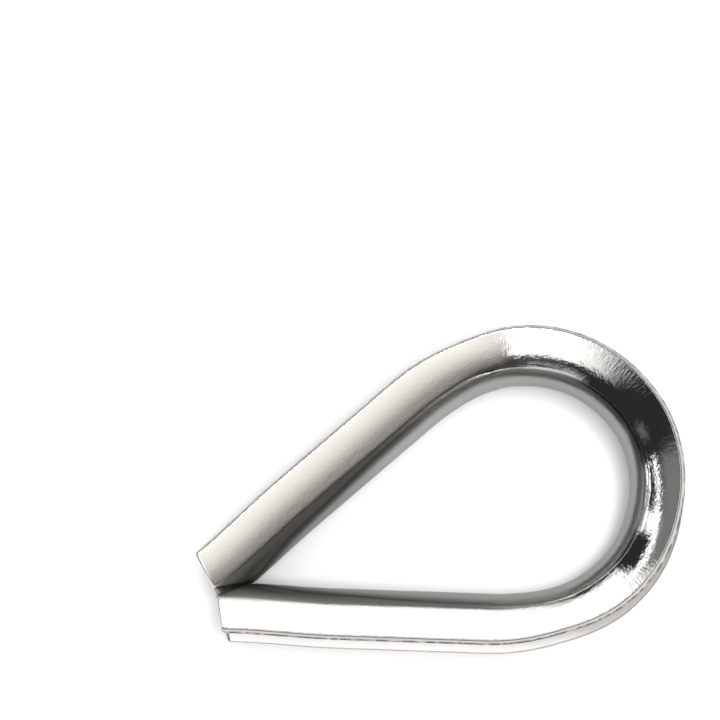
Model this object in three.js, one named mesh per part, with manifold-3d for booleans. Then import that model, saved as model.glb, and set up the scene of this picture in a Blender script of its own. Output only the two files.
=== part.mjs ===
// A teardrop wire rope thimble (thimble eye): one strip of stainless sheet, pressed into a channel
// and bent round until its two leg ends meet. Millimetres, +Z up. It lies flat on its lower rim,
// crown towards +Y, leg ends towards -Y, with the origin in the middle of its footprint.
import * as THREE from "three";
import { mergeVertices } from "three/addons/utils/BufferGeometryUtils.js";
import Module from "manifold-3d";

const { degToRad } = THREE.MathUtils;

// The strip and its channel section. Angles are measured from the direction that faces the eye.
const SHEET = 1.1; // thickness
const THROAT_RADIUS = 4.36; // eye side of the rolled throat
const THROAT_ANGLE = degToRad(48); // where the throat roll runs into a flange
const FLANGE_RADIUS = 8.15; // eye side of a flange
const RIM_ANGLE = degToRad(74); // where a flange ends, square to the sheet
const RIM_LAND_DROP = 0.06; // worn flat off the highest corner of each rim

// The teardrop, drawn along the eye side of the throat.
const CROWN_RADIUS = 9.3; // a half circle
const SIDE_RADIUS = 17; // gentler bend from the crown into a leg
const LEG_ANGLE = degToRad(21.4); // each straight leg to the centre line

// The leg ends.
const TIP_GAP = 0.12; // between the legs where they meet
const TIP_OPENING_ANGLE = degToRad(4.5); // each trimmed face away from the centre line
const END_CUT_Y = -29.8; // the end cut on the centre line, from the crown's centre
const END_CUT_ANGLE = degToRad(8.5);

// Facets.
const THROAT_SEGMENTS = 8;
const FLANGE_SEGMENTS = 3;
const HALF_PATH_STEPS = 36;

const STAINLESS = new THREE.MeshStandardMaterial({ color: 0xc9c7c2, roughness: 0.22, metalness: 1 });

// Centres of the section's arcs: x is the distance outward from the eye side, y is along Z.
const throatCentre = new THREE.Vector2(THROAT_RADIUS, 0);
const flangeCentre = new THREE.Vector2(
  THROAT_RADIUS + (FLANGE_RADIUS - THROAT_RADIUS) * Math.cos(THROAT_ANGLE),
  -(FLANGE_RADIUS - THROAT_RADIUS) * Math.sin(THROAT_ANGLE),
);

function pointOnArc(centre, radius, angle) {
  return new THREE.Vector2(centre.x - radius * Math.cos(angle), centre.y + radius * Math.sin(angle));
}

const rimCorner = pointOnArc(flangeCentre, FLANGE_RADIUS, RIM_ANGLE);
const HALF_WIDTH = rimCorner.y - RIM_LAND_DROP;
const landStartAngle = Math.asin((HALF_WIDTH - flangeCentre.y) / FLANGE_RADIUS);
const landEnd = new THREE.Vector2(rimCorner.x + RIM_LAND_DROP / Math.tan(RIM_ANGLE), HALF_WIDTH);
const groovePoint = pointOnArc(flangeCentre, FLANGE_RADIUS - SHEET, RIM_ANGLE);

function arc(centre, radius, from, to, segments) {
  const points = [];
  for (let i = 0; i <= segments; i++) {
    points.push(pointOnArc(centre, radius, from + ((to - from) * i) / segments));
  }
  return points;
}

function mirrored(points) {
  return points.map((p) => new THREE.Vector2(p.x, -p.y)).reverse();
}

// The closed channel section, from the lower rim round the eye side to the upper rim, then back
// along the rope groove.
function sectionPoints() {
  const eyeFlange = arc(flangeCentre, FLANGE_RADIUS, THROAT_ANGLE, landStartAngle, FLANGE_SEGMENTS);
  const eyeThroat = arc(throatCentre, THROAT_RADIUS, -THROAT_ANGLE, THROAT_ANGLE, THROAT_SEGMENTS);
  const grooveFlange = arc(flangeCentre, FLANGE_RADIUS - SHEET, THROAT_ANGLE, RIM_ANGLE, FLANGE_SEGMENTS);
  const grooveThroat = arc(throatCentre, THROAT_RADIUS - SHEET, THROAT_ANGLE, -THROAT_ANGLE, THROAT_SEGMENTS);
  return [
    ...mirrored([...eyeFlange.slice(1), landEnd]),
    ...eyeThroat,
    ...eyeFlange.slice(1),
    landEnd,
    ...[...grooveFlange.slice(1)].reverse(),
    ...grooveThroat,
    ...grooveFlange.slice(1).map((p) => new THREE.Vector2(p.x, -p.y)),
  ];
}

// Half of the teardrop: from the top of the crown, round the side and down the leg at +X.
class HalfPath extends THREE.Curve {
  constructor(legLength) {
    super();
    this.crownLength = (CROWN_RADIUS * Math.PI) / 2;
    this.sideLength = SIDE_RADIUS * LEG_ANGLE;
    this.legLength = legLength;
  }

  getPoint(t, target = new THREE.Vector3()) {
    let along = t * (this.crownLength + this.sideLength + this.legLength);
    if (along <= this.crownLength) {
      const angle = along / CROWN_RADIUS;
      return target.set(CROWN_RADIUS * Math.sin(angle), CROWN_RADIUS * Math.cos(angle), 0);
    }
    along -= this.crownLength;
    const turned = Math.min(along / SIDE_RADIUS, LEG_ANGLE);
    target.set(CROWN_RADIUS - SIDE_RADIUS * (1 - Math.cos(turned)), -SIDE_RADIUS * Math.sin(turned), 0);
    const straight = Math.max(along - this.sideLength, 0);
    target.x -= straight * Math.sin(LEG_ANGLE);
    target.y -= straight * Math.cos(LEG_ANGLE);
    return target;
  }
}

const wasm = await Module();
wasm.setup();

function toSolid(geometry) {
  const bare = new THREE.BufferGeometry();
  bare.setAttribute("position", geometry.getAttribute("position").clone());
  if (geometry.index) bare.setIndex(geometry.index.clone());
  const merged = mergeVertices(bare, 1e-4);
  const vertProperties = merged.getAttribute("position").array;
  const triVerts = new Uint32Array(merged.index.array);
  return new wasm.Manifold(new wasm.Mesh({ numProp: 3, vertProperties, triVerts }));
}

function toGeometry(solid) {
  const mesh = solid.getMesh();
  const geometry = new THREE.BufferGeometry();
  geometry.setAttribute("position", new THREE.BufferAttribute(mesh.vertProperties, 3));
  geometry.setIndex(new THREE.BufferAttribute(mesh.triVerts, 1));
  return geometry;
}

// A large block whose +X or +Y face passes through a point in the plane of the eye.
const CUTTER_SIZE = 60;

function cutter(faceAxis, pointX, pointY, turn) {
  const block = new THREE.BoxGeometry(CUTTER_SIZE, CUTTER_SIZE, CUTTER_SIZE);
  const back = faceAxis.clone().multiplyScalar(-CUTTER_SIZE / 2);
  block.translate(back.x, back.y, back.z);
  block.rotateZ(turn);
  block.translate(pointX, pointY, 0);
  return toSolid(block);
}

// One half of the thimble, trimmed to the centre line at the tip and cut off at the leg end.
function thimbleHalf() {
  const legToCentreLine =
    (CROWN_RADIUS - SIDE_RADIUS * (1 - Math.cos(LEG_ANGLE))) / Math.sin(LEG_ANGLE);
  const pastCentreLine = 8;
  // An extrusion along this path puts the shape's x along Z and its y outward from the eye.
  const section = sectionPoints().map((p) => new THREE.Vector2(p.y, p.x));
  const sweep = new THREE.ExtrudeGeometry(new THREE.Shape(section), {
    steps: HALF_PATH_STEPS,
    extrudePath: new HalfPath(legToCentreLine + pastCentreLine),
  });
  const meetingY = -SIDE_RADIUS * Math.sin(LEG_ANGLE) - legToCentreLine * Math.cos(LEG_ANGLE);
  const aboveMeeting = 4;
  const besideTip = new THREE.Vector3(1, 0, 0);
  const belowEnd = new THREE.Vector3(0, 1, 0);
  const tipTrim = cutter(besideTip, TIP_GAP / 2, meetingY, TIP_OPENING_ANGLE);
  const onlyTheTip = cutter(belowEnd, 0, meetingY + aboveMeeting, 0);
  const endCut = cutter(belowEnd, 0, END_CUT_Y, -END_CUT_ANGLE);
  return toSolid(sweep).subtract(tipTrim.intersect(onlyTheTip)).subtract(endCut);
}

function makeThimble() {
  const right = thimbleHalf();
  const whole = right.add(right.mirror([1, 0, 0]));
  const geometry = toGeometry(whole);
  geometry.computeBoundingBox();
  const { min, max } = geometry.boundingBox;
  geometry.translate(0, -(min.y + max.y) / 2, HALF_WIDTH);
  const mesh = new THREE.Mesh(geometry, STAINLESS);
  mesh.name = "thimble";
  return mesh;
}

const thimbleEye = new THREE.Group();
thimbleEye.add(makeThimble());

export default thimbleEye;
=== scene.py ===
"""The studio look of a teardrop wire rope thimble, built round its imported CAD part.

Lengths are millimetres until a mesh is made, and metres after that. The thimble lies flat on z = 0,
its crown towards +Y and its leg ends towards -Y.
"""

import math

import bpy
import numpy as np
from mathutils import Matrix, Vector, noise


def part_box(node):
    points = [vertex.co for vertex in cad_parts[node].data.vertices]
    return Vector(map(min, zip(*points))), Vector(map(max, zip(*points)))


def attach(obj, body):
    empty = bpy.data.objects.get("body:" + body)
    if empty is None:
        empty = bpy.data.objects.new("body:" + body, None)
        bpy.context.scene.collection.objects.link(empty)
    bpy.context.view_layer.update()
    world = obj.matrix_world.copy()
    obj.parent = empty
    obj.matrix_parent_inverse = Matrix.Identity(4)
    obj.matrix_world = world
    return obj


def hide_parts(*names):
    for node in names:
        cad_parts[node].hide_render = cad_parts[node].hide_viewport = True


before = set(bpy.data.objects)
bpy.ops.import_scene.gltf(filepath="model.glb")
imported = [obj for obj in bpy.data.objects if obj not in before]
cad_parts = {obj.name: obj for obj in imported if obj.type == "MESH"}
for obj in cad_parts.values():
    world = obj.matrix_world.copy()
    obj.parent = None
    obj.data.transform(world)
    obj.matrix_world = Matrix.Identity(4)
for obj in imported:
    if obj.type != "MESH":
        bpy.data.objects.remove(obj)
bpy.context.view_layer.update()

MM = 0.001

# The teardrop, along the eye side of the throat, as in the CAD part.
CROWN_RADIUS = 9.3
SIDE_RADIUS = 17.0
LEG_ANGLE = math.radians(21.4)
END_CUT_Y = -29.8
END_CUT_ANGLE = math.radians(8.5)
TIP_GAP = 0.12
TIP_OPENING_ANGLE = math.radians(4.5)

# The channel section. Angles are measured from the direction that faces the eye.
SHEET = 1.1
DEPTH = 4.65
THROAT_ANGLE = math.radians(49.4)
LEG_RIM_ANGLE = math.radians(74)
CROWN_RIM_ANGLE = math.radians(68)

# Edge rounding of the tumbled sheet, and the burr that shearing left on its groove side.
RIM_EYE_ROUND = 0.08
RIM_GROOVE_ROUND = 0.09
END_ROUND = 0.3
BURR = 0.035

# Height that the rounded rims lose from the pressed section, made up for on each side.
ROUNDING_LOSS = 0.018

# How far hand bending and pressing left the strip off the drawn teardrop.
TIP_DRAW_IN = 0.22
WAIST_AT = 15.2
WAIST_LENGTH = 2.6
WAIST_OUTWARD = 0.14
WAIST_SHALLOWER = 0.3
CROWN_FLAT = 0.1
CROWN_BUMP = 0.04
PRESS_SOFTNESS = 0.1

# The marks of the die: a line beside the throat, a ridge along it on the crown, and a swelling of
# the legs' flanges beside the rolled throat, which lies a little further from the throat at +X.
DIE_LINE = 3.4
DIE_LINE_DEPTH = 0.014
RIDGE_HEIGHT = 0.024
SHOULDER = 3.83
SHOULDER_LEAN = 0.17
SHOULDER_HEIGHT = 0.03

# Mesh density.
STATION_STEP = 0.105
CORNER_ROWS = 4
THROAT_ROWS = 9
FLANGE_ROWS = 15
EDGE_ROWS = 2
GROOVE_ROWS = 12
END_ROWS = 6

CROWN_LENGTH = CROWN_RADIUS * math.pi / 2
SIDE_LENGTH = SIDE_RADIUS * LEG_ANGLE
LEG_START = CROWN_LENGTH + SIDE_LENGTH
LEG_START_X = CROWN_RADIUS - SIDE_RADIUS * (1 - math.cos(LEG_ANGLE))
LEG_START_Y = -SIDE_RADIUS * math.sin(LEG_ANGLE)
MEETING = LEG_START + LEG_START_X / math.sin(LEG_ANGLE)

low, high = (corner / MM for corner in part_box("thimble"))
HALF_HEIGHT = (high.z - low.z) / 2
MIDDLE_Z = (high.z + low.z) / 2
RIM_LIP = SHEET * math.cos(LEG_RIM_ANGLE)
CROWN_CENTRE_Y = high.y - (CROWN_RADIUS + DEPTH + RIM_LIP)


def bell(value, centre, width):
    return np.exp(-(((value - centre) / width) ** 2))


def ramp(value, start, end):
    t = np.clip((value - start) / (end - start), 0, 1)
    return t * t * (3 - 2 * t)


# ---------------------------------------------------------------- shape of the bent strip


def waist(along):
    """How strongly the channel is drawn in where the crown's bend ends, 0 to 1."""
    return bell(np.abs(along), WAIST_AT, WAIST_LENGTH)


def sway(along):
    """How far hand bending left the strip off the drawn teardrop, outward."""
    tip = TIP_DRAW_IN * ramp(np.abs(along), 35, 43.5)
    crown = CROWN_FLAT * bell(along, 5, 2.6) - CROWN_BUMP * bell(along, -1, 1.5)
    return WAIST_OUTWARD * waist(along) - crown - tip


def section_radii(along):
    """Throat radius, flange radius and rim angle of the channel at a distance from the crown's top."""
    distance = np.abs(along)
    rim_angle = CROWN_RIM_ANGLE + (LEG_RIM_ANGLE - CROWN_RIM_ANGLE) * ramp(distance, 6, 17)
    depth = DEPTH - WAIST_SHALLOWER * waist(along)
    depth += 0.12 * ramp(distance, 17, 22) - 0.05 * ramp(distance, 36, 44)
    height = HALF_HEIGHT + ROUNDING_LOSS
    cos_throat = math.cos(THROAT_ANGLE)
    sin_throat = math.sin(THROAT_ANGLE)
    depth_of_throat = 1 - cos_throat
    depth_of_flange = cos_throat - np.cos(rim_angle)
    height_of_throat = sin_throat
    height_of_flange = np.sin(rim_angle) - sin_throat
    determinant = depth_of_throat * height_of_flange - depth_of_flange * height_of_throat
    throat = (depth * height_of_flange - depth_of_flange * height) / determinant
    flange = (depth_of_throat * height - depth * height_of_throat) / determinant
    return throat, flange, rim_angle


def half_width(along):
    """Length of the section from the middle of the throat to a rim, along the eye side."""
    throat, flange, rim_angle = section_radii(along)
    return throat * THROAT_ANGLE + flange * (rim_angle - THROAT_ANGLE)


def bend_section(along, across, deep):
    """Outward distance and height of a point of the flat strip once the channel is pressed."""
    throat, flange, _ = section_radii(along)
    reach = np.abs(across)
    throat_width = throat * THROAT_ANGLE
    on_throat = reach < throat_width
    throat_turn = reach / throat
    flange_turn = THROAT_ANGLE + (reach - throat_width) / flange
    turn = np.where(on_throat, throat_turn, flange_turn)
    radius = np.where(on_throat, throat, flange)
    centre_out = np.where(on_throat, throat, throat + (flange - throat) * math.cos(THROAT_ANGLE))
    centre_up = np.where(on_throat, 0, -(flange - throat) * math.sin(THROAT_ANGLE))
    outward = centre_out - (radius - deep) * np.cos(turn)
    up = centre_up + (radius - deep) * np.sin(turn)
    return outward + sway(along), up * np.sign(across + 1e-9)


def bend_path(along, outward):
    """X and Y, from the crown's centre, of a point that lies outward of the eye side's line."""
    distance = np.abs(along)
    crown_turn = np.minimum(distance, CROWN_LENGTH) / CROWN_RADIUS
    side_turn = np.clip(distance - CROWN_LENGTH, 0, SIDE_LENGTH) / SIDE_RADIUS
    straight = np.maximum(distance - LEG_START, 0)
    on_crown = distance < CROWN_LENGTH
    base_x = np.where(
        on_crown,
        CROWN_RADIUS * np.sin(crown_turn),
        CROWN_RADIUS - SIDE_RADIUS * (1 - np.cos(side_turn)) - straight * math.sin(LEG_ANGLE),
    )
    base_y = np.where(
        on_crown,
        CROWN_RADIUS * np.cos(crown_turn),
        -SIDE_RADIUS * np.sin(side_turn) - straight * math.cos(LEG_ANGLE),
    )
    normal_x = np.where(on_crown, np.sin(crown_turn), np.cos(side_turn))
    normal_y = np.where(on_crown, np.cos(crown_turn), -np.sin(side_turn))
    x = base_x + outward * normal_x
    y = base_y + outward * normal_y
    return x, y


def leg_end(outward):
    """Distance from the crown's top at which a line of the strip reaches the end cut."""
    x = LEG_START_X + outward * math.cos(LEG_ANGLE)
    y = LEG_START_Y - outward * math.sin(LEG_ANGLE)
    slope = math.tan(END_CUT_ANGLE)
    run = (y - END_CUT_Y + x * slope) / (math.cos(LEG_ANGLE) + math.sin(LEG_ANGLE) * slope)
    return LEG_START + run


def press_tip(x, y, deep):
    """The throat is pressed flat where the legs would cross the centre line."""
    meeting_y = LEG_START_Y - (MEETING - LEG_START) * math.cos(LEG_ANGLE)
    gap = TIP_GAP / 2 + np.maximum(meeting_y - y, 0) * math.tan(TIP_OPENING_ANGLE)
    limit = gap + 0.5 * deep
    pressed = 0.5 * (x + limit + np.sqrt((x - limit) ** 2 + PRESS_SOFTNESS**2))
    return np.where(y < meeting_y + 3, pressed, x)


# ---------------------------------------------------------------- the mesh


def crease_across(along):
    """Where the die's edge left its line, measured across the strip from the middle of the throat."""
    distance = np.abs(along)
    twist = 0.35 * np.clip(along / 9, -1, 1) * (1 - ramp(along, 15, 22))
    return DIE_LINE + twist - 0.75 * ramp(distance, 24, 39) - 1.1 * ramp(distance, 37, 43.5)


def shoulder_across(along):
    """The middle of the swelling along each leg's flange, measured across the strip."""
    return SHOULDER + SHOULDER_LEAN * np.clip(along / 20, -1, 1)


def dull_across(along):
    """How far the polish stops short: at the die's line on the crown, at the shoulder on the legs."""
    crease = crease_across(along)
    return crease + (shoulder_across(along) - 0.05 - crease) * ramp(np.abs(along), 12.5, 18)


def corner(width, radius, deep_edge, into_sheet):
    """Rows of a rounded corner of the strip, from its face to its edge."""
    turns = np.linspace(0, math.pi / 2, CORNER_ROWS)
    return width - radius * (1 - np.sin(turns)), deep_edge + into_sheet * radius * (1 - np.cos(turns))


def strip_outline(width, inset, crease):
    """The strip's closed outline as (across, deep): eye side from rim to rim, then the groove side."""
    steps = np.array([-0.2, -0.1, -0.05, 0, 0.05, 0.1, 0.17, 0.24, 0.31, 0.38, 0.46, 0.56])
    throat = np.linspace(0, crease - 0.3, THROAT_ROWS)
    flange = np.linspace(crease + 0.68, width - RIM_EYE_ROUND - 0.06, FLANGE_ROWS)
    eye_across, eye_deep = corner(width, RIM_EYE_ROUND, inset, 1)
    groove_across, groove_deep = corner(width, RIM_GROOVE_ROUND, SHEET - inset, -1)
    edge_deep = np.linspace(eye_deep[-1], groove_deep[-1], EDGE_ROWS + 2)[1:-1]
    groove = np.linspace(0, width - RIM_GROOVE_ROUND - 0.1, GROOVE_ROWS)
    across = np.concatenate([throat, crease + steps, flange, eye_across])
    across = np.concatenate([across, np.full(EDGE_ROWS, width), groove_across[::-1], groove[::-1]])
    deep = np.concatenate([np.full(len(throat) + len(steps) + len(flange), inset), eye_deep])
    deep = np.concatenate([deep, edge_deep, groove_deep[::-1], np.full(GROOVE_ROWS, SHEET - inset)])
    return np.concatenate([across, -across[-2:0:-1]]), np.concatenate([deep, deep[-2:0:-1]])


def strip_rings():
    """Each ring round the strip: which leg it is on, how far along it, and its turn into the end."""
    half_count = int(MEETING / STATION_STEP)
    end_turns = np.linspace(0, math.pi / 2, END_ROWS + 1)[1:]
    left_end = [(-1, 1.0, turn) for turn in end_turns[::-1]]
    middle = [(math.copysign(1, i), abs(i) / half_count, 0.0) for i in range(-half_count, half_count + 1)]
    right_end = [(1, 1.0, turn) for turn in end_turns]
    return left_end + middle + right_end


def strip_ring(side, fraction, turn):
    """Along, across and deep of each point of one ring, its ends rounded and cut square to Y."""
    inset = END_ROUND * (1 - math.cos(turn))
    station = side * fraction * MEETING
    across, deep = strip_outline(float(half_width(station)) - inset, inset, float(crease_across(station)))
    outward, _ = bend_section(np.full_like(across, station), across, deep)
    end = leg_end(outward) - END_ROUND
    stretch = (end - LEG_START) / (MEETING - LEG_START)
    along = fraction * MEETING
    if along > LEG_START:
        along = LEG_START + (along - LEG_START) * stretch
    return side * (along + END_ROUND * math.sin(turn)), across, deep


def surface_marks(along, across, deep):
    """Depth, into the sheet, of the die's line, its ridge on the crown and the legs' shoulders."""
    on_eye_side = 1 - ramp(deep, 0.05, 0.3)
    distance = np.abs(along)
    from_crease = np.abs(across) - crease_across(along)
    fade = 1 - ramp(distance, MEETING - 3, MEETING)
    raised = bell(along, -12, 2.5) + bell(along, 5, 3.5)
    line = DIE_LINE_DEPTH * fade * bell(from_crease, 0, 0.06)
    ridge = RIDGE_HEIGHT * raised * bell(from_crease, 0.36, 0.13)
    shoulder = bell(np.abs(across), shoulder_across(along), 0.42)
    shoulder *= SHOULDER_HEIGHT * ramp(distance, 13, 18)
    return on_eye_side * (line - ridge - shoulder)


def rim_burr(along, across, deep):
    """How far the sheared corner on the groove side stands out past the rim."""
    coarse = np.array([noise.noise(Vector((s * 1.9, 0, 0))) for s in along[:, 0]])
    fine = np.array([noise.noise(Vector((s * 5.3, 3, 0))) for s in along[:, 0]])
    ragged = (coarse + 0.6 * fine)[:, None]
    from_rim = half_width(along) - np.abs(across)
    at_corner = ramp(deep, SHEET - 0.42, SHEET - 0.16) * (1 - ramp(from_rim, 0.1, 0.3))
    return BURR * np.clip(ragged + 0.25, 0, 1) * at_corner


def build_thimble():
    rings = [strip_ring(*ring) for ring in strip_rings()]
    along = np.array([ring[0] + 0 * ring[1] for ring in rings])
    across = np.array([ring[1] for ring in rings])
    deep = np.array([ring[2] for ring in rings])
    burr = rim_burr(along, across, deep) * np.sign(across)
    outward, up = bend_section(along, across + burr, deep + surface_marks(along, across, deep))
    x, y = bend_path(along, outward)
    x = press_tip(x, y, deep) * np.where(along < 0, -1, 1)
    points = np.stack([x, y + CROWN_CENTRE_Y, up + MIDDLE_Z], axis=-1).reshape(-1, 3) * MM

    ring_count, row_count = along.shape
    first = np.arange((ring_count - 1) * row_count).reshape(-1, row_count)
    second = np.roll(first, -1, axis=1)
    faces = np.stack([first, first + row_count, second + row_count, second], axis=-1)
    faces = faces.reshape(-1, 4).tolist()
    left_cap = list(range(row_count))
    right_cap = [(ring_count - 1) * row_count + row for row in reversed(range(row_count))]
    mesh = bpy.data.meshes.new("thimble_strip")
    mesh.from_pydata(points.tolist(), [], faces + [left_cap, right_cap])
    reach = np.abs(across)
    edges = (half_width(along) - reach, reach - crease_across(along), reach - dull_across(along))
    for name, columns in (("strip", (along, across, deep)), ("edges", edges)):
        values = np.stack(columns, axis=-1).astype(np.float32)
        mesh.attributes.new(name, "FLOAT_VECTOR", "POINT").data.foreach_set("vector", values.ravel())
    mesh.shade_smooth()
    mesh.validate()
    thimble = bpy.data.objects.new("thimble_strip", mesh)
    bpy.context.scene.collection.objects.link(thimble)
    return thimble


# ---------------------------------------------------------------- materials


class Nodes:
    """Adds shader nodes to a tree, one call each, and joins them up."""

    def __init__(self, tree):
        self.tree = tree
        tree.nodes.clear()

    def add(self, kind, **settings):
        node = self.tree.nodes.new(kind)
        for name, value in settings.items():
            setattr(node, name, value)
        return node

    def join(self, source, target):
        self.tree.links.new(source, target)

    def put(self, socket, value):
        if isinstance(value, bpy.types.NodeSocket):
            self.join(value, socket)
        else:
            socket.default_value = value

    def math(self, operation, a, b=0.0):
        node = self.add("ShaderNodeMath", operation=operation)
        self.put(node.inputs[0], a)
        self.put(node.inputs[1], b)
        return node.outputs[0]

    def range(self, value, low_in, high_in, low_out=0.0, high_out=1.0):
        node = self.add("ShaderNodeMapRange", interpolation_type="SMOOTHSTEP")
        for socket, number in zip(node.inputs, (value, low_in, high_in, low_out, high_out)):
            self.put(socket, number)
        return node.outputs[0]

    def noise(self, vector, scale, detail=2.0, roughness=0.5):
        node = self.add("ShaderNodeTexNoise")
        self.put(node.inputs["Vector"], vector)
        node.inputs["Scale"].default_value = scale
        node.inputs["Detail"].default_value = detail
        node.inputs["Roughness"].default_value = roughness
        return node.outputs["Fac"]


def mix_colour(nodes, share, first, second):
    mix = nodes.add("ShaderNodeMix", data_type="RGBA")
    nodes.put(mix.inputs["Factor"], share)
    nodes.put(mix.inputs["A"], first)
    nodes.put(mix.inputs["B"], second)
    return mix.outputs["Result"]


def split_attribute(nodes, name):
    split = nodes.add("ShaderNodeSeparateXYZ")
    nodes.join(nodes.add("ShaderNodeAttribute", attribute_name=name).outputs["Vector"], split.inputs[0])
    return split.outputs


# Linear colours of the stainless, by region of the strip. The throat, beside-die-line, band and
# sheared-edge colours are painted shade, paler in the throat on the -X leg.
STEEL = (0.62, 0.61, 0.59, 1)
STEEL_EDGE_TINT = (0.62, 0.62, 0.62, 1)
# Painted shade: the throat is darker than the steel, for the dim floor and other leg that it mirrors, and
# a little paler on the -X leg.
THROAT_PAINTED_SHADE = (0.3, 0.3, 0.293, 1)
THROAT_PAINTED_SHADE_LEFT_LEG = (0.38, 0.38, 0.372, 1)
# Painted shade: a near-black strip just inside the die's line.
PAINTED_SHADE_BESIDE_DIE_LINE = (0.13, 0.128, 0.12, 1)
# Painted shade: the rougher band between the die's line and the polish is darkened.
DULL_BAND_PAINTED_SHADE = (0.3, 0.297, 0.28, 1)
GROOVE = (0.42, 0.41, 0.4, 1)
# Painted shade: a dark, ragged line along the rims' edges.
SHEARED_EDGE_PAINTED_SHADE = (0.07, 0.065, 0.06, 1)
MICROMETRE = 1.0e-6


def relief(nodes, place, strip, on_leg):
    """Height in micrometres: orange peel, soft dents, and wrinkles across the stretched rim."""
    along = nodes.math("ABSOLUTE", strip[0])
    across = nodes.math("ABSOLUTE", strip[1])
    peel = nodes.noise(place, 5200, 3, 0.6)
    peel = nodes.math("MULTIPLY", peel, nodes.range(on_leg, 0, 1, 6.5, 10.0))
    dents = nodes.noise(place, 1900, 2, 0.5)
    dents = nodes.math("MULTIPLY", dents, nodes.range(on_leg, 0, 1, 12.0, 8.0))
    wrinkle_place = nodes.add("ShaderNodeCombineXYZ")
    nodes.join(strip[0], wrinkle_place.inputs[0])
    nodes.join(nodes.math("MULTIPLY", across, 0.16), wrinkle_place.inputs[1])
    wrinkles = nodes.noise(wrinkle_place.outputs[0], 6.5, 3, 0.65)
    stretched = nodes.math("MULTIPLY", nodes.range(across, 4.8, 6.5), nodes.range(along, 15.5, 11))
    from_smooth_patch = nodes.math("ABSOLUTE", nodes.math("SUBTRACT", strip[0], 3.5))
    stretched = nodes.math("MULTIPLY", stretched, nodes.range(from_smooth_patch, 2, 7, 4.0, 20.0))
    wrinkles = nodes.math("MULTIPLY", wrinkles, stretched)
    return nodes.math("ADD", nodes.math("ADD", peel, dents), wrinkles)


def polished_stainless():
    """Tumbled stainless: mirror-like round the crown, satin on the legs, dull in throat and groove, with
    painted shade in the throat, by the die's line and along the rims.
    """
    material = bpy.data.materials.new("polished_stainless")
    material.use_nodes = True
    nodes = Nodes(material.node_tree)
    output = nodes.add("ShaderNodeOutputMaterial")
    shader = nodes.add("ShaderNodeBsdfPrincipled")
    nodes.join(shader.outputs[0], output.inputs["Surface"])
    place = nodes.add("ShaderNodeTexCoord").outputs["Object"]
    strip = split_attribute(nodes, "strip")
    edges = split_attribute(nodes, "edges")
    deep = strip[2]
    from_rim, from_crease, from_polish = edges

    # Where things are: 1 inside each region and 0 outside it. The painted shade lies in a strip just
    # inside the die's line, and in the rougher band between that line and the polish.
    eye_side = nodes.range(deep, 0.45, 0.2)
    groove_side = nodes.range(deep, 0.85, 1.0)
    throat = nodes.math("MULTIPLY", nodes.range(from_polish, 0.16, -0.14), eye_side)
    start = nodes.range(strip[0], -24, -8, -1.0, -0.4)
    painted_shade_strip = nodes.math("MULTIPLY", nodes.range(from_crease, start, -0.05), throat)
    painted_shade_band = nodes.math("MULTIPLY", nodes.range(from_crease, 0.04, 0.22), throat)
    # Painted light: the throat's colour is paler on the middle of the -X leg, darker towards its tip and
    # towards the crown.
    left_leg_painted_light = nodes.math("MULTIPLY", nodes.range(strip[0], -32, -24), nodes.range(strip[0], -8, -20))
    on_leg = nodes.range(nodes.math("ABSOLUTE", strip[0]), 11.5, 17)
    # Painted shade: a ragged dark line along the eye side's rim edge, and dark dashes on the groove-side
    # corner by the burr, fainter on the rim at negative across.
    ragged = nodes.noise(place, 3800, 3, 0.7)
    ragged_rim = nodes.math("ADD", from_rim, nodes.range(ragged, 0.3, 0.7, -0.035, 0.035))
    painted_rim_shade = nodes.math("MULTIPLY", nodes.range(ragged_rim, 0.13, 0.08), nodes.range(deep, 0.3, 0.1))
    burr = nodes.math("MULTIPLY", nodes.range(from_rim, 0.3, 0.1), nodes.range(deep, 0.52, 0.72))
    dashes = nodes.noise(place, 1300, 4, 0.65)
    burr = nodes.math("MULTIPLY", burr, nodes.range(dashes, 0.38, 0.54))
    burr = nodes.math("MULTIPLY", burr, nodes.range(strip[1], -1, 1, 0.1, 1.0))
    painted_edge_shade = nodes.math("MAXIMUM", painted_rim_shade, burr)

    shader.inputs["Metallic"].default_value = 1.0
    shader.inputs["Specular Tint"].default_value = STEEL_EDGE_TINT
    # Painted shade in the throat, beside the die's line, in the band and along the edges, and painted
    # light on the -X leg's throat.
    painted_throat_colour = mix_colour(nodes, left_leg_painted_light, THROAT_PAINTED_SHADE, THROAT_PAINTED_SHADE_LEFT_LEG)
    colour = mix_colour(nodes, throat, STEEL, painted_throat_colour)
    colour = mix_colour(nodes, nodes.math("MULTIPLY", painted_shade_strip, 0.85), colour, PAINTED_SHADE_BESIDE_DIE_LINE)
    colour = mix_colour(nodes, nodes.math("MULTIPLY", painted_shade_band, 0.9), colour, DULL_BAND_PAINTED_SHADE)
    colour = mix_colour(nodes, groove_side, colour, GROOVE)
    colour = mix_colour(nodes, nodes.math("MULTIPLY", painted_edge_shade, 0.85), colour, SHEARED_EDGE_PAINTED_SHADE)
    nodes.join(colour, shader.inputs["Base Color"])

    cloud = nodes.noise(place, 900, 3)
    roughness = nodes.range(on_leg, 0, 1, 0.02, 0.13)
    roughness = nodes.math("ADD", roughness, nodes.range(cloud, 0.3, 0.7, 0, 0.02))
    dulled = nodes.math("MAXIMUM", nodes.math("MAXIMUM", throat, groove_side), painted_edge_shade)
    roughness = nodes.math("ADD", roughness, nodes.math("MULTIPLY", dulled, 0.18))
    nodes.join(roughness, shader.inputs["Roughness"])

    bump = nodes.add("ShaderNodeBump")
    bump.inputs["Strength"].default_value = 1.0
    bump.inputs["Distance"].default_value = MICROMETRE
    nodes.join(relief(nodes, place, strip, on_leg), bump.inputs["Height"])
    nodes.join(bump.outputs[0], shader.inputs["Normal"])
    return material


# ---------------------------------------------------------------- studio


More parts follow.
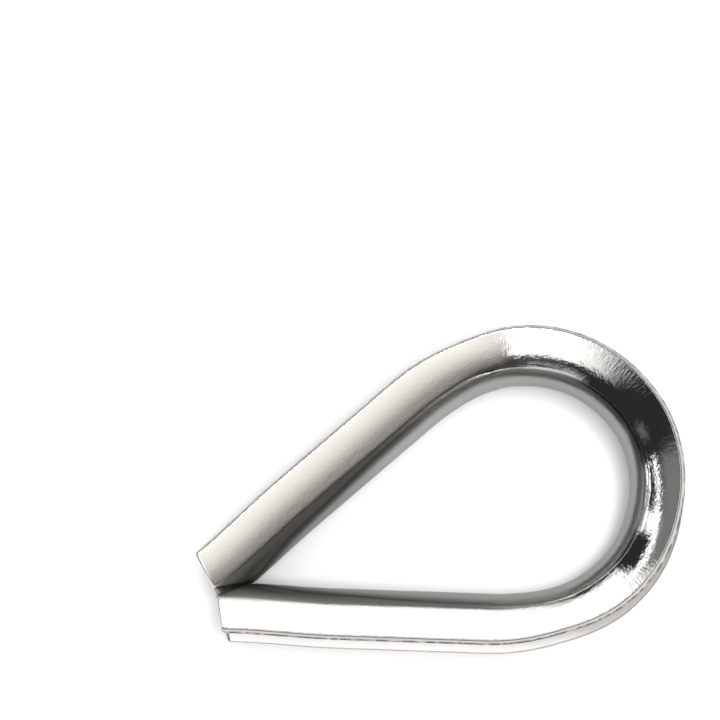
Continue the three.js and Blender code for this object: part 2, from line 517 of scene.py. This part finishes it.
FLOOR_COLOUR = (0.7, 0.7, 0.705, 1)
FLOOR_HALF = 1.5


def white_floor():
    material = bpy.data.materials.new("white_floor")
    material.use_nodes = True
    shader = material.node_tree.nodes["Principled BSDF"]
    shader.inputs["Base Color"].default_value = FLOOR_COLOUR
    shader.inputs["Roughness"].default_value = 0.9
    corners = [(x * FLOOR_HALF, y * FLOOR_HALF, 0) for x, y in ((-1, -1), (1, -1), (1, 1), (-1, 1))]
    mesh = bpy.data.meshes.new("floor")
    mesh.from_pydata(corners, [], [(0, 1, 2, 3)])
    mesh.materials.append(material)
    floor = bpy.data.objects.new("floor", mesh)
    bpy.context.scene.collection.objects.link(floor)


# The light tent round the thimble, far away. Each panel: azimuth and elevation of its middle, how
# far its middle rises per degree of azimuth, how far its sides lean per degree of elevation, half
# width, half height, softness of its sides and of its top and bottom (all in degrees), then its
# brightness and its colour. Where panels overlap, the brightest one shows.
WARM = (1.0, 0.975, 0.93)
WHITE = (1.0, 1.0, 1.0)
PANELS = (
    (166, 37, 0, 0.2, 38, 24.5, 2.5, 3, 1.85, WHITE),
    (216, 29, -0.2, 0, 15, 2.0, 1.5, 0.5, 2.8, WHITE),
    (242, 23.5, -0.1, 0, 10, 1.6, 1.5, 0.5, 2.8, WHITE),
    (226, 21, 0, 0, 4, 3.5, 1.5, 1.5, 2.6, WHITE),
    (236, 5, 0, 0, 14, 3.5, 3, 1, 2.6, WHITE),
    (215, 50, 0, 0, 38, 22, 5, 5, 0.28, WHITE),
    (-27, 50, 0, 0, 19, 20.5, 2, 2.5, 2.3, WHITE),
    (45, 90, 0, 0, 52, 56, 6, 26, 1.45, WARM),
    (-40, 50, 0, 0, 22, 20.5, 11, 2.5, 1.5, WHITE),
    (-24, 22, 0, 0, 17, 6, 8, 4, 0.1, WHITE),
    (-34, 10, 0, 0, 16, 10, 6, 4, 0.9, WHITE),
    (-58, 42, 0, 0, 10, 9, 5, 6, 0.2, WHITE),
    (267, 21, 0, 0, 5, 4, 4, 3, 0.2, WHITE),
    (30, 78.5, 0, 0, 80, 5, 25, 2, 30.0, WHITE),
    (0, 77, 0, 0, 200, 6, 1, 2.5, 5.0, WHITE),
)
AMBIENT = (0.035, 0.035, 0.037)
BACKDROP = (0.93, 0.93, 0.94)


def panel_mask(nodes, bearing, height, shape):
    """1 inside a panel of the tent, 0 outside it, from a ray's azimuth and elevation in degrees."""
    azimuth, elevation, rise, lean, half_wide, half_high, soft_wide, soft_high = shape
    from_middle = nodes.math("SUBTRACT", height, elevation)
    sideways = nodes.math("SUBTRACT", bearing, azimuth)
    sideways = nodes.math("SUBTRACT", sideways, nodes.math("MULTIPLY", from_middle, lean))
    wrap = nodes.add("ShaderNodeMath", operation="WRAP")
    nodes.join(sideways, wrap.inputs[0])
    wrap.inputs[1].default_value = 180
    wrap.inputs[2].default_value = -180
    sideways = wrap.outputs[0]
    upward = nodes.math("SUBTRACT", from_middle, nodes.math("MULTIPLY", sideways, rise))
    inside = []
    for distance, half, soft in ((sideways, half_wide, soft_wide), (upward, half_high, soft_high)):
        inside.append(nodes.range(nodes.math("ABSOLUTE", distance), half - soft, half + soft, 1.0, 0.0))
    return nodes.math("MULTIPLY", *inside)


def studio_world():
    world = bpy.data.worlds.new("studio")
    bpy.context.scene.world = world
    world.use_nodes = True
    nodes = Nodes(world.node_tree)
    output = nodes.add("ShaderNodeOutputWorld")
    ray = nodes.add("ShaderNodeSeparateXYZ")
    nodes.join(nodes.add("ShaderNodeTexCoord").outputs["Generated"], ray.inputs[0])
    bearing = nodes.math("DEGREES", nodes.math("ARCTAN2", ray.outputs[1], ray.outputs[0]))
    height = nodes.math("DEGREES", nodes.math("ARCSINE", ray.outputs[2]))
    total = AMBIENT
    for *shape, brightness, colour in PANELS:
        glow = nodes.add("ShaderNodeVectorMath", operation="SCALE")
        glow.inputs[0].default_value = Vector(colour) * brightness
        nodes.join(panel_mask(nodes, bearing, height, shape), glow.inputs["Scale"])
        brightest = nodes.add("ShaderNodeVectorMath", operation="MAXIMUM")
        nodes.put(brightest.inputs[0], total)
        nodes.join(glow.outputs[0], brightest.inputs[1])
        total = brightest.outputs[0]
    light = nodes.add("ShaderNodeBackground")
    nodes.join(total, light.inputs["Color"])
    backdrop = nodes.add("ShaderNodeBackground")
    backdrop.inputs["Color"].default_value = (*BACKDROP, 1)
    choose = nodes.add("ShaderNodeMixShader")
    nodes.join(nodes.add("ShaderNodeLightPath").outputs["Is Camera Ray"], choose.inputs[0])
    nodes.join(light.outputs[0], choose.inputs[1])
    nodes.join(backdrop.outputs[0], choose.inputs[2])
    nodes.join(choose.outputs[0], output.inputs["Surface"])


# The view: almost straight down, a little from +X, with the crown to the right and slightly up.
VIEW_DISTANCE = 500.0
VIEW_TILT = math.radians(7.1)
VIEW_TILT_ALONG = math.radians(-1.0)
CROWN_RISE = math.radians(19.3)
FRAME_WIDTH = 65.4
FRAME_CENTRE_FROM_CROWN = (-0.232, 0.177)  # right and up, as shares of the frame's width
SENSOR = 36.0


def place_camera():
    tilt = Vector((math.tan(VIEW_TILT), math.tan(VIEW_TILT_ALONG), 1)).normalized()
    crown_way = (Vector((0, 1, 0)) - tilt * tilt.y).normalized()
    right = Matrix.Rotation(-CROWN_RISE, 3, tilt) @ crown_way
    upward = tilt.cross(right)
    crown = Vector((0, CROWN_CENTRE_Y, MIDDLE_Z))
    from_crown = right * FRAME_CENTRE_FROM_CROWN[0] + upward * FRAME_CENTRE_FROM_CROWN[1]
    target = crown + from_crown * FRAME_WIDTH
    eye = Vector((0, 0, MIDDLE_Z)) + tilt * VIEW_DISTANCE
    backward = (eye - target).normalized()
    level = upward.cross(backward).normalized()
    data = bpy.data.cameras.new("camera")
    data.sensor_width = SENSOR
    data.lens = SENSOR * VIEW_DISTANCE / FRAME_WIDTH
    data.clip_start = 0.01
    camera = bpy.data.objects.new("camera", data)
    bpy.context.scene.collection.objects.link(camera)
    turn = Matrix((level, backward.cross(level), backward)).transposed().to_4x4()
    camera.matrix_world = Matrix.Translation(eye * MM) @ turn
    bpy.context.scene.camera = camera


place_camera()
white_floor()
studio_world()
bpy.context.scene.view_settings.view_transform = "Standard"

thimble = build_thimble()
thimble.data.materials.append(polished_stainless())
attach(thimble, "root")
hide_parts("thimble")
